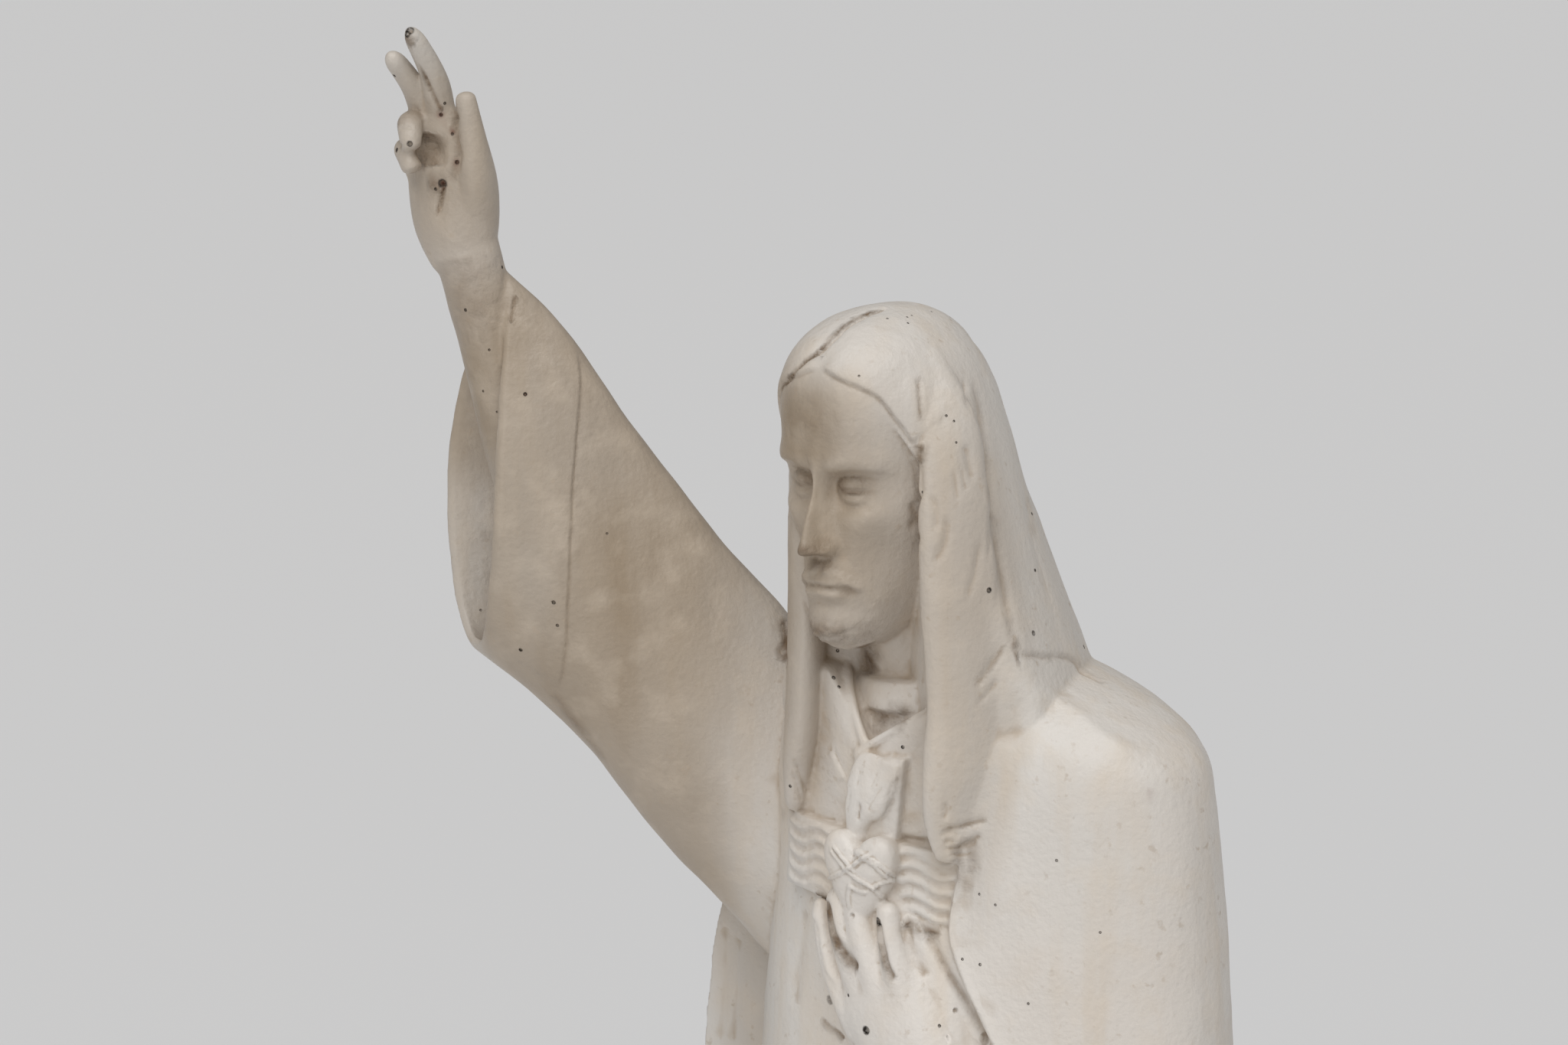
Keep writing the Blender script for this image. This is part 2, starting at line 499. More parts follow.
# the emblem: a cross bent to the chest, waves on its arms, a bound heart and a flame in front
emblem = {
    "middle": 2.5, "front": -45.5, "bend": 0.0042, "back": 9.0,
    "arms": (-38.0, 43.5, 744.0, 771.5), "droop": -0.065,  # the arms fall a little to the figure's left
    "post": (-5.4, 16.6, 738.0, 802.0), "lean": 0.125,
    "level": 774.0, "edge": 0.8, "round": 0.7, "margin": 2.0,
    "wavePitch": 5.3, "waveSwing": 1.6, "waveLength": 22.0, "waveRise": 1.25, "waveStart": 21.0, "waveFoot": 3.4,
    "wavesFrom": (14.5, 16.5), "notchAt": 26.8, "notch": 0.6,  # from the middle of the emblem
}
heart = {
    "middle": np.array([4.6, -47.0, 758.5]), "half": 15.3, "tall": 18.4, "curve": (0.95, 0.38, 0.13),
    # ring, how far out of the chest, share of the outline
    "swell": track([[0, -2, 0.97], [1, 3.2, 1], [2, 6.0, 0.88], [3, 7.6, 0.64], [4, 8.2, 0.34], [5, 8.4, 0.04]]),
}


def emblemY(x):
    return emblem["front"] + emblem["bend"] * (x - emblem["middle"]) ** 2


def waves(x, z):
    x0, x1, z0, z1 = emblem["arms"]
    run, margin = np.abs(x - emblem["middle"]), emblem["margin"]
    swing = emblem["waveSwing"] * np.cos(2 * math.pi * (run - emblem["waveStart"]) / emblem["waveLength"])
    rise = z - z0 - emblem["waveFoot"] - swing
    bar = smooth(np.cos(2 * math.pi * rise / emblem["wavePitch"]), -0.1, 0.8)
    gap = 1 - emblem["notch"] * bell(run - emblem["notchAt"], 0.8)
    inside = smooth(np.minimum(x - x0, x1 - x), margin - 0.6, margin + 0.8)
    inside = inside * smooth(np.minimum(z - z0, z1 - z), margin - 1, margin) * smooth(run, *emblem["wavesFrom"])
    return emblem["waveRise"] * bar * inside * gap


def plate(x0, x1, z0, z1, relief=None, droop=0.0, lean=0.0):
    x = np.linspace(x0, x1, int((x1 - x0) / 0.5))[:, None]
    z = np.linspace(z0, z1, int((z1 - z0) / 0.35))[None, :]
    rise = 0 if relief is None else relief(x, z)
    toEdge = (np.minimum(z - z0, z1 - z), np.minimum(x - x0, x1 - x))
    rounded = sum(emblem["round"] * (1 - smooth(gap, 0, emblem["edge"])) for gap in toEdge)
    sideX = x + lean * (z - emblem["level"])
    front = np.stack(np.broadcast_arrays(sideX, emblemY(x) - rise + rounded, z + droop * (x - emblem["middle"])), -1)
    behind = emblemY(x[:, 0]) + emblem["back"]
    edges = [np.stack([x[:, 0] + lean * (end - emblem["level"]), behind,
                       end + droop * (x[:, 0] - emblem["middle"])], -1) for end in (z1, z0)]
    loft(np.concatenate([front, np.stack(edges, 1)], 1))


def makeHeart():
    a = np.linspace(0, 2 * math.pi, 120, endpoint=False)
    x = heart["half"] * np.sin(a) ** 3
    first, second, third = heart["curve"]
    z = heart["tall"] * (first * np.cos(a) - second * np.cos(2 * a) - third * np.cos(3 * a))
    rings = [heart["middle"] + np.stack([x * scale, np.full_like(x, -out), z * scale], -1)
             for out, scale in heart["swell"](np.linspace(0, 5, 36))]
    loft(rings)


# the flame: a low body over the post, narrow at its foot; its strands are cut in later
flame = [[0.4, -46.0, 771, 3.8, 2.0], [0.4, -46.2, 775, 4.1, 2.6], [2.1, -46.5, 781, 6.6, 3.1],
         [4.7, -46.7, 785.3, 9.0, 3.2], [6, -46.6, 789.4, 9.6, 3.0], [7.9, -46.3, 794, 9.8, 2.5],
         [10.4, -45.9, 799, 8.6, 1.7], [11.4, -45.5, 802, 6.4, 1.0]]


def makeEmblem():
    plate(*emblem["arms"], waves, droop=emblem["droop"])
    plate(*emblem["post"], lean=emblem["lean"])
    makeHeart()
    limb(flame, [0, -1, 0], 60, 0.5)


# crossing neckline bands and the panel that they edge
neckline = {
    "bands": [[[-19, -27, 830, 2, 2], [-14, -33, 826, 2, 2], [-9, -37.8, 820.5, 2, 2], [-3.6, -41, 812.5, 2, 2],
               [1.4, -42.4, 804.5, 1.9, 1.9], [7, -43.2, 797, 1.6, 1.5]],
              [[33, -22, 826, 2, 2], [24, -36, 818, 1.9, 2], [14, -41, 811.6, 1.8, 2], [4.5, -42.8, 805.4, 1.7, 1.8],
               [-4, -43.2, 799.5, 1.5, 1.4]]],
    # the robe's front on either side of the opening
    "lapels": [[(-27, 833), (-17, 829), (-9, 820.5), (2, 804.5), (9, 797), (10, 772), (-32, 772), (-36, 802)],
               [(38, 827), (25, 818.5), (14, 811.8), (3, 804.8), (-3, 796), (-4, 772), (36, 772), (41, 802)]],
    "steps": [(1.0, -26), (1.0, -40.2), (0.975, -42.0), (0.92, -42.6), (0.6, -43.0)],  # share of the outline, front
    "bend": 0.0036, "middle": 2,
}


def makeNeckline():
    for rows in neckline["bands"]:
        limb(rows, [0, -1, 0.4], 20, 0.7)
    for outline in neckline["lapels"]:
        middle = np.mean(outline, 0)
        rings = []
        for scale, y in neckline["steps"]:
            rings.append([(middle[0] + (x - middle[0]) * scale, y + neckline["bend"] * (x - neckline["middle"]) ** 2,
                           middle[1] + (z - middle[1]) * scale) for x, z in outline])
        loft(rings)


# bare feet show under the hem
feet = {
    "places": [(-26, -4), (28, 5)],  # side, turn outwards
    "toes": [(-9, 5, 5), (-2, 3.5, 3.8), (4, 1.5, 3.5), (9.5, -2, 3.3), (14, -6, 3)],  # side, reach, half width
}


def makeFeet():
    z = base["tall"]
    for x, turn in feet["places"]:
        side = 1 if x > 0 else -1
        limb([[x, -30, z + 12, 15, 14], [x + turn * 0.5, -58, z + 9, 15, 9],
              [x + turn, -72, z + 5.5, 14, 6]], [0, 0, 1])
        for across, reach, size in feet["toes"]:
            at = x + side * across
            limb([[at, -52, z + 8, size, size], [at + turn, -74 - reach / 2, z + 6.5, size, size * 0.9],
                  [at + turn * 1.3, -80 - reach, z + 4.5, size * 0.9, size * 0.8]], [0, 0, 1], 24)


# how the heap becomes one casting, in mm, rounds of smoothing and boxes from low to high corner
casting = {
    "voxel": 0.78, "quickVoxel": 2.2, "softens": 0.5, "rounds": 2, "workedRounds": 14, "quickRounds": 4,
    "worked": [((-200, -110, 840), (-118, -20, 1060)), ((-30, -64, 640), (70, -36, 736)),
               ((24, -60, 766), (140, 60, 860))],
    "fine": [
        ((-192, -105, 952), (-118, -40, 1062)),  # raised hand
        ((-46, -90, 836), (36, -34, 950)),       # face
        ((14, -60, 768), (58, -14, 952)),        # near lock and temple
        ((-46, -70, 696), (50, -36, 836)),       # emblem, neckline and chest hand
    ],
    "plainTriangles": 62000, "triangles": 180000,
    "swells": [(55, 0.28), (23, 0.12), (11, 0.05)],  # length and height of the slow swells
    "blockSize": 20000,  # vertices measured at a time, to go easy on memory
}

print("stage: forms")
for make in (makeBase, makeRobe, makeCloak, makeFeet, makeSleeve, makeRaisedHand, makeChestHand, makeNeck,
             makeHead, makeHair, makeLocks, makeNeckline, makeEmblem):
    make()

rawMesh = bpy.data.meshes.new("castFigure")
rawMesh.from_pydata((np.vstack(heap["verts"]) * mm).tolist(), [], heap["faces"])
statue = bpy.data.objects.new("castFigure", rawMesh)
bpy.context.scene.collection.objects.link(statue)


def bake(obj):
    # keeps what the modifiers make of the object
    fresh = bpy.data.meshes.new_from_object(obj.evaluated_get(bpy.context.evaluated_depsgraph_get()))
    obj.modifiers.clear()
    obj.vertex_groups.clear()
    old, obj.data = obj.data, fresh
    bpy.data.meshes.remove(old)


def places(mesh):
    co = np.empty(len(mesh.vertices) * 3)
    mesh.vertices.foreach_get("co", co)
    return co.reshape(-1, 3) / mm


def normals(mesh):
    way = np.empty(len(mesh.vertices) * 3)
    mesh.vertex_normals.foreach_get("vector", way)
    return way.reshape(-1, 3)


def group(obj, name, mask):
    made = obj.vertex_groups.new(name=name)
    made.add(np.flatnonzero(mask).tolist(), 1.0, "REPLACE")
    return name


def inBox(p, low, high):
    return np.all((p > low) & (p < high), axis=1)


def inBoxes(p, boxes):
    return np.any([inBox(p, low, high) for low, high in boxes], axis=0)


def smoothOut(obj, rounds, mask=None):
    step = obj.modifiers.new("smoothOut", "SMOOTH")
    step.factor = casting["softens"]
    step.iterations = rounds
    if mask is not None:
        step.vertex_group = group(obj, "worked", mask)
    bake(obj)


print("stage: fuse")
fuse = statue.modifiers.new("fuse", "REMESH")
fuse.mode = "VOXEL"
fuse.voxel_size = casting["voxel"] * mm
smoothOut(statue, casting["rounds"])

# hands, locks and shoulders are worked smoother, as a modeller's thumb would leave them
worked = inBoxes(places(statue.data), casting["worked"])
smoothOut(statue, casting["workedRounds"], worked)
print("stage: fused", len(statue.data.vertices))

surface = {"at": places(statue.data), "out": normals(statue.data)}
surface["lift"] = np.zeros(len(surface["at"]))
surface["tree"] = BVHTree.FromPolygons(surface["at"].tolist(), [list(f.vertices) for f in statue.data.polygons])


def seenAt(x, y, tree):
    # where the camera's ray through a pixel meets the surface
    way = (toRight * (x - photo["wide"] / 2) + toTop * (photo["high"] / 2 - y)) / photo["focal"] - toCamera
    return tree.ray_cast(Vector(eye), Vector(way).normalized())


# lines drawn on the photograph are laid on the surface and cut or raised there
def laidOn(pixels, spacing=0.6):
    hits = []
    for x, y in pixels:
        hit = seenAt(x, y, surface["tree"])[0]
        if hit is not None:
            hits.append(hit)
    if len(hits) < 2:
        return None
    hits = np.array(hits)
    run = np.concatenate([[0], np.cumsum(np.linalg.norm(np.diff(hits, axis=0), axis=1))])
    line = track(np.column_stack([run, hits]))(np.linspace(0, run[-1], max(4, int(run[-1] / spacing))))
    return snapped(line)


def snapped(points):
    found = [surface["tree"].find_nearest(Vector(q)) for q in points]
    return np.array([f[0] for f in found]), np.array([f[1] for f in found])


def mirrored(line):
    # the same line on the other side of the head
    points = line[0].copy()
    points[:, 0] = 2 * head["axis"][0] - points[:, 0]
    found = snapped(points)
    close = np.linalg.norm(found[0] - points, axis=1) < 7
    return (found[0][close], found[1][close]) if close.sum() > 4 else None


def near(line, at, reach):
    # for the vertices by a line: their number, distance, signed side and run along it
    if line is None:
        return (np.zeros(0, int),) * 4
    points, out = line
    box = inBox(at, points.min(0) - reach, points.max(0) + reach)
    found = np.flatnonzero(box)
    if not len(found):
        return found, found, found, found
    nearest, gap = np.empty(len(found), int), np.empty(len(found))
    for start in range(0, len(found), casting["blockSize"]):
        part = slice(start, start + casting["blockSize"])
        gaps = np.linalg.norm(at[found[part]][:, None, :] - points[None, :, :], axis=2)
        nearest[part], gap[part] = gaps.argmin(1), gaps.min(1)
    along = np.gradient(points, axis=0)
    along /= np.linalg.norm(along, axis=1)[:, None] + 1e-9
    sideWay = np.cross(along, out)[nearest]
    side = ((at[found] - points[nearest]) * sideWay).sum(1)
    close = gap < reach
    return found[close], gap[close], side[close], (nearest / max(1, len(points) - 1))[close]


def ends(run, taper):
    return smooth(run, 0, taper) * (1 - smooth(run, 1 - taper, 1)) if taper > 0 else 1


def carve(line, wide, deep, taper=0.25):
    found, gap, _, run = near(line, surface["at"], wide * 3)
    surface["lift"][found] -= deep * bell(gap, wide) * ends(run, taper)


def overlap(line, wide, high, reach, taper=0.1):
    # one layer's edge over the next; the raised side is on the right of the line's way for high > 0
    found, gap, side, run = near(line, surface["at"], reach * 2.5)
    side = side * (1 if high > 0 else -1)
    step = 0.5 + 0.5 * np.tanh(side / wide)
    rise = step * np.exp(-np.maximum(side, 0) / reach) - 0.35 * bell(side + wide, wide * 1.2)
    surface["lift"][found] += abs(high) * rise * ends(run, taper) * (1 - smooth(gap, reach * 1.5, reach * 2.5))


# hair: the parting, the hair's rim over the brow, seams between locks and shallow tool marks
hairLines = {
    "parting": [(1020, 514), (1025, 503), (1040, 486), (1055, 471), (1068, 461), (1088, 441), (1103, 426),
                (1128, 412), (1159, 402)],
    "rim": [(1071, 481), (1081, 486), (1099, 496), (1118, 504), (1133, 511), (1146, 518), (1158, 531), (1169, 546),
            (1181, 561), (1191, 576), (1199, 584)],
    "temple": [(1199, 488), (1200, 513), (1201, 536), (1202, 552)],
    "besideCheek": [(1199, 583), (1201, 599), (1200, 619), (1199, 645), (1198, 678), (1200, 705), (1201, 722)],
    "seam": [(1265, 483), (1272, 513), (1279, 546), (1284, 579), (1288, 612), (1291, 645), (1295, 678), (1300, 712),
             (1305, 745), (1310, 778), (1317, 811), (1323, 844), (1327, 858)],
    "backValley": [(1327, 566), (1333, 596), (1342, 645), (1348, 678), (1357, 708)],
    "marks": [  # line, half width, depth
        ([(1257, 491), (1259, 506), (1262, 523), (1264, 539)], 1.1, 0.5),
        ([(1260, 576), (1265, 592), (1269, 612), (1271, 632)], 1.6, 0.8),
        ([(1248, 609), (1249, 629), (1251, 645), (1253, 660)], 1.0, 0.4),
        ([(1257, 606), (1260, 625), (1264, 645)], 1.0, 0.4),
        ([(1290, 688), (1292, 712), (1287, 738)], 0.9, 0.4),
        ([(1282, 698), (1278, 725), (1274, 748), (1267, 771), (1260, 791)], 1.4, 0.6),
        ([(1311, 837), (1307, 850), (1297, 866), (1284, 885), (1270, 900)], 1.3, 0.7),
        ([(1306, 887), (1290, 907), (1274, 922)], 1.0, 0.45),
        ([(1214, 645), (1222, 662), (1224, 678), (1222, 698)], 1.2, 0.7),
        ([(1232, 672), (1237, 692), (1234, 712), (1226, 728), (1217, 740)], 1.4, 0.9),
        ([(1033, 732), (1043, 761), (1055, 795), (1068, 821)], 0.9, 0.4),
        ([(1035, 991), (1046, 1013), (1058, 1038)], 1.1, 0.9),
        ([(1032, 1007), (1041, 1026), (1049, 1049)], 1.0, 0.7),
        ([(1227, 1085), (1238, 1082), (1250, 1081), (1263, 1077), (1278, 1073), (1292, 1069)], 1.1, 0.9),
        ([(1232, 1103), (1240, 1099), (1249, 1103)], 1.0, 0.7),
        ([(1251, 1106), (1261, 1102), (1274, 1094), (1282, 1090)], 1.0, 0.8),
        ([(1250, 1114), (1261, 1110), (1276, 1102)], 0.9, 0.6),
        ([(1232, 1045), (1236, 1059), (1232, 1073)], 0.9, 0.7),
        ([(1230, 1107), (1247, 1109), (1263, 1105), (1280, 1094)], 0.9, 0.8),
        ([(1238, 1114), (1255, 1118), (1272, 1113)], 0.9, 0.7),
        ([(1226, 1092), (1240, 1088), (1256, 1090)], 0.8, 0.6),
    ],
}
sleeveLines = {
    "band": [(751, 454), (755, 476), (757, 493), (756, 528), (753, 563), (750, 602), (747, 641), (746, 680),
             (744, 719), (743, 754), (741, 788), (740, 819), (739, 840), (736, 866), (731, 892), (724, 902)],
    "wristCrease": [(674, 361), (673, 385), (669, 407), (666, 422)],
    "shoulderCrease": [(1014, 782), (1020, 801), (1024, 819), (1027, 840), (1031, 866)],
}
handLines = {
    "betweenFingers": [(543, 84), (550, 90), (555, 99), (562, 114), (569, 129), (575, 141), (579, 146)],
    "palmCrease": [(580, 238), (578, 249), (575, 263), (573, 273), (572, 284)],
    "besideThumb": [(598, 131), (597, 150), (598, 166), (599, 182), (601, 198), (598, 214), (593, 228), (586, 241)],
    "hollow": [(561, 171), (563, 188), (564, 204), (562, 220)],
    "joints": [[(522, 171), (531, 167), (542, 169)], [(520, 191), (528, 188)]],
}
chestLines = {
    "flame": [  # line, half width, depth
        ([(1122, 1046), (1122, 1058), (1120, 1074)], 0.7, 1.5),
        ([(1124, 1000), (1121, 1016), (1119, 1032)], 0.8, 0.5),
        ([(1157, 1020), (1147, 1035), (1137, 1052), (1131, 1066)], 0.9, 0.7),
        ([(1146, 1004), (1142, 1018), (1134, 1034)], 0.8, 0.45),
        ([(1168, 1018), (1163, 1034), (1157, 1047)], 0.7, 0.6),
        ([(1112, 1030), (1109, 1048), (1110, 1066)], 0.8, 0.4),
    ],
    "strands": [  # thorn twigs wound across the heart
        [(1083, 1103), (1093, 1120), (1103, 1133), (1120, 1148), (1140, 1160), (1157, 1174)],
        [(1087, 1101), (1098, 1117), (1109, 1131), (1118, 1140)],
        [(1108, 1108), (1125, 1119), (1145, 1133), (1168, 1153)],
        [(1113, 1106), (1130, 1117), (1150, 1131), (1171, 1147)],
        [(1084, 1149), (1100, 1139), (1112, 1132), (1127, 1121), (1144, 1112)],
        [(1137, 1162), (1153, 1153), (1170, 1147)],
        [(1108, 1154), (1120, 1163), (1134, 1166)],
        [(1110, 1157), (1108, 1172), (1109, 1188)],
        [(1121, 1124), (1115, 1131)], [(1128, 1124), (1133, 1118)], [(1141, 1157), (1148, 1155)],
    ],
    "lapel": [(1087, 980), (1093, 993), (1100, 1007), (1105, 1018)],
    "stippled": [(1080, 1172), (1082, 1192), (1084, 1206), (1089, 1223), (1097, 1237), (1108, 1252), (1122, 1268)],
    "fingerRim": [(1066, 1170), (1068, 1206), (1073, 1240), (1080, 1268), (1091, 1285), (1101, 1300)],
    "betweenFingers": [(1147, 1201), (1148, 1217), (1153, 1243), (1158, 1262), (1169, 1282)],
    "besideIndex": [(1182, 1206), (1188, 1223), (1195, 1243), (1204, 1262), (1211, 1279)],
    "knuckle": [(1071, 1330), (1082, 1341), (1094, 1349), (1103, 1359)],
    "sideFolds": [[(948, 1205), (944, 1280), (938, 1364)], [(963, 1215), (960, 1285), (954, 1364)]],
    "robeFold": [(1053, 1178), (1049, 1206), (1045, 1243), (1040, 1276), (1039, 1318)],
    "cloakFoot": [(1206, 1215), (1223, 1241), (1240, 1272), (1259, 1303), (1276, 1334), (1293, 1365)],
    "shoulderRidge": [(1340, 893), (1355, 907), (1378, 915), (1417, 941), (1459, 976), (1500, 992)],
    "besideLock": [(1328, 895), (1326, 945), (1324, 991), (1312, 1026), (1301, 1057), (1284, 1096), (1270, 1130),
                   (1251, 1211)],
    "hairFoot": [(1327, 858), (1345, 856), (1365, 859), (1385, 858), (1405, 866), (1431, 887), (1444, 897)],
}


print("stage: relief")
drawnRim = laidOn(hairLines["rim"])
for line in (drawnRim, mirrored(drawnRim)):
    mirror = -1 if line is drawnRim else 1
    overlap(line, 0.7, mirror * 1.5, 9)
parting = laidOn(hairLines["parting"])
carve(parting, 0.9, 1.0, 0.05)
carve(parting, 3.5, 0.6, 0.1)
for name, wide, deep in [("temple", 1.0, 0.8), ("besideCheek", 2.0, 1.4), ("backValley", 4.5, 0.9)]:
    line = laidOn(hairLines[name])
    carve(line, wide, deep)
    carve(mirrored(line), wide, deep)
seam = laidOn(hairLines["seam"])
for line, turn in ((seam, 1), (mirrored(seam), -1)):
    overlap(line, 2.2, turn * 1.3, 8, 0.15)
    carve(line, 2.8, 1.2, 0.2)
for pixels, wide, deep in hairLines["marks"]:
    line = laidOn(pixels)
    carve(line, wide * 1.15, deep * 1.4)
    if pixels[0][0] > 1240 and pixels[0][1] < 960:
        carve(mirrored(line), wide, deep * 0.8)
overlap(laidOn(sleeveLines["band"]), 0.5, 0.9, 12, 0.06)
carve(laidOn(sleeveLines["wristCrease"]), 0.9, 0.9)
carve(laidOn(sleeveLines["shoulderCrease"]), 1.6, 1.6)
for name, wide, deep in [("betweenFingers", 0.9, 1.1), ("palmCrease", 0.9, 2.4), ("besideThumb", 2.0, 1.1),
                         ("hollow", 4.6, 4.2)]:
    carve(laidOn(handLines[name]), wide, deep, 0.5 if name == "hollow" else 0.25)
for pixels in handLines["joints"]:
    carve(laidOn(pixels), 0.7, 0.6)
for name, wide, deep in [("stippled", 1.8, 1.6), ("betweenFingers", 1.3, 1.8), ("besideIndex", 2.0, 1.2),
                         ("knuckle", 1.2, 1.0), ("robeFold", 3.5, 0.8), ("cloakFoot", 1.6, 1.4),
                         ("besideLock", 4.5, 1.2), ("hairFoot", 1.3, 0.9)]:
    carve(laidOn(chestLines[name]), wide, deep, 0.12)
overlap(laidOn(chestLines["fingerRim"]), 0.6, -0.8, 4, 0.15)
overlap(laidOn(chestLines["lapel"]), 0.6, 1.0, 5, 0.15)
carve(laidOn(chestLines["shoulderRidge"]), 4.0, -1.0, 0.2)
for pixels in chestLines["sideFolds"]:
    carve(laidOn(pixels), 3.0, 0.9, 0.1)
for pixels, wide, deep in chestLines["flame"]:
    carve(laidOn(pixels), wide, deep, 0.3)
for pixels in chestLines["strands"]:
    carve(laidOn(pixels), 1.9, 0.45, 0.1)
    carve(laidOn(pixels), 0.68, -1.5, 0.1)

# the back of the hair falls in long shallow waves, plainer than the front
p = surface["at"]
z = p[:, 2]
turn = np.arctan2(p[:, 0] - hair["axis"][0], -(p[:, 1] - hair["axis"][1])) % (2 * math.pi)
reachOut = np.hypot(p[:, 0] - hair["axis"][0], p[:, 1] - hair["axis"][1])
onHair = bell(reachOut - hairRadius(turn, z), 2.5) * smooth(z, *hair["wavesAbove"])
onHair = onHair * (1 - smooth(z, *hair["wavesBelow"]))
behind = smooth(turn, *map(math.radians, hair["wavesFrom"])) * (1 - smooth(turn, *map(math.radians, hair["wavesTo"])))
wide, narrow = hair["waves"]
strand = np.cos(wide * turn + 1.4 * np.sin(z / 21)) + 0.5 * np.cos(narrow * turn + 2 - 1.1 * np.sin(z / 15))
surface["lift"] -= hair["waveDepth"] * onHair * behind * smooth(strand, 0.3, 1.4)

# plaster is never quite true: slow swells over everything but the underside
random = np.random.default_rng(7)
swell = np.zeros(len(p))
for size, high in casting["swells"]:
    for _ in range(5):
        way = random.normal(size=3)
        way /= np.linalg.norm(way)
        length = size * random.uniform(0.7, 1.4)
        swell += high * np.sin(p @ way * 2 * math.pi / length + random.uniform(0, 6.28)) / 2
surface["lift"] += swell * smooth(z, 2, 12)

p = surface["at"] + surface["out"] * surface["lift"][:, None]
p[:, 2] = np.maximum(p[:, 2], 0)
statue.data.vertices.foreach_set("co", (p * mm).ravel())
statue.data.update()
surface.clear()

# fewer faces on plain cloth and the base; hands, face, front hair and emblem stay fine
print("stage: thin out")
fine = inBoxes(p, casting["fine"])


def cornersOf(mesh):
    mesh.calc_loop_triangles()
    found = np.empty(len(mesh.loop_triangles) * 3, np.int32)
    mesh.loop_triangles.foreach_get("vertices", found)
    return found.reshape(-1, 3)


def thinOut(mask, target):
    # only the masked part loses faces
    total = len(cornersOf(statue.data))
    step = statue.modifiers.new("thinOut", "DECIMATE")
    step.vertex_group = group(statue, "masked", mask)
    step.vertex_group_factor = 0
    step.ratio = min(1.0, target / total)
    bake(statue)


fineCount = int(fine[cornersOf(statue.data)].any(1).sum())
thinOut(~fine, fineCount + casting["plainTriangles"])
thinOut(inBoxes(places(statue.data), casting["fine"]), casting["triangles"])
print("stage: thinned", fineCount, len(statue.data.vertices), len(cornersOf(statue.data)))


# casting bubbles that opened as small holes, and chips: across, down, radius in mm, how dark
bubbles = [
    (1185, 414, 0.35, 1), (1191, 412, 0.3, 1), (1186, 422, 0.35, 1), (1159, 416, 0.4, 0.8), (1217, 407, 0.35, 0.9),
    (1122, 491, 0.35, 0.9), (1236, 543, 0.4, 1), (1246, 550, 0.35, 1), (1249, 578, 0.35, 1), (1205, 643, 0.45, 1),
    (1348, 671, 0.5, 1), (1352, 745, 0.5, 1), (1292, 771, 0.8, 1), (1350, 827, 0.8, 0.8), (1416, 845, 0.6, 1),
    (1179, 976, 0.55, 1), (1094, 850, 0.5, 1), (1089, 885, 0.6, 1), (1096, 897, 0.5, 1), (1032, 1027, 0.5, 1),
    (1380, 1124, 0.45, 0.8), (1300, 1182, 0.4, 0.9), (1279, 1168, 0.4, 0.9), (1257, 1253, 0.4, 1),
    (1280, 1260, 0.45, 1), (1343, 1311, 0.4, 1), (1437, 1218, 0.4, 0.8), (1108, 1300, 0.5, 1), (1227, 1340, 0.5, 1),
    (1131, 1346, 1.3, 1),
    (1113, 1196, 0.9, 0.15), (1147, 1204, 1.3, 1), (1084, 1306, 1.4, 0.5), (1248, 1320, 0.9, 0.2), (686, 515, 0.6, 1),
    (656, 349, 0.5, 1), (608, 405, 0.5, 1), (631, 511, 0.4, 0.8), (649, 538, 0.35, 0.8), (639, 457, 0.4, 0.8),
    (723, 787, 0.6, 1), (728, 817, 0.5, 0.8), (680, 849, 0.6, 1), (628, 797, 0.4, 0.8), (793, 697, 0.4, 0.7),
    (569, 247, 0.5, 1), (581, 135, 0.45, 1), (515, 99, 0.5, 1), (518, 196, 0.7, 1), (535, 188, 0.9, 0.9),
    (534, 39, 1.5, 1), (531, 44, 1.2, 1), (576, 150, 0.6, 0.8), (591, 175, 0.5, 0.8), (597, 212, 0.7, 0.7),
    (578, 240, 1.4, 0.9),
]
# in hole radii: how far edges are split, how short, the bowl's rim, its depth and where the dark fades
holes = {
    "rounds": 5, "splitTo": 1.5, "edgeShare": 0.6, "shortEdge": 0.55,
    "rim": (0.45, 1.15), "deep": 1.5, "darkRim": (1.05, 1.5),
}


print("stage: bubbles")
tree = BVHTree.FromPolygons(places(statue.data).tolist(), cornersOf(statue.data).tolist())
found = [(seenAt(x, y, tree), size, dark) for x, y, size, dark in bubbles]
found = [(np.array(hit[0]), np.array(hit[1]), size, dark) for hit, size, dark in found if hit[0] is not None]
holeAt, holeWay = np.array([f[0] for f in found]), np.array([f[1] for f in found])
holeSize, holeDark = np.array([f[2] for f in found]), np.array([f[3] for f in found])


def toHoles(points):
    # the nearest hole and the distance to it
    nearest, gap = np.zeros(len(points), int), np.full(len(points), 1e6)
    for i, (at, size) in enumerate(zip(holeAt, holeSize)):
        away = np.linalg.norm(points - at, axis=1)
        closer = away / size < gap / holeSize[nearest]
        nearest[closer], gap[closer] = i, away[closer]
    return nearest, gap


work = bmesh.new()
work.from_mesh(statue.data)
for _ in range(holes["rounds"]):  # split the edges by a hole until they can draw it
    edges = list(work.edges)
    middles = np.array([(e.verts[0].co + e.verts[1].co) / 2 for e in edges]) / mm
    lengths = np.array([e.calc_length() for e in edges]) / mm
    nearest, gap = toHoles(middles)
    size = holeSize[nearest]
    byHole = (gap < holes["splitTo"] * size + holes["edgeShare"] * lengths) & (lengths > holes["shortEdge"] * size)
    split = [edges[i] for i in np.flatnonzero(byHole)]
    if not split:
        break
    bmesh.ops.subdivide_edges(work, edges=split, cuts=1, use_grid_fill=True)
    bmesh.ops.triangulate(work, faces=[f for f in work.faces if len(f.verts) > 4])
work.to_mesh(statue.data)
work.free()

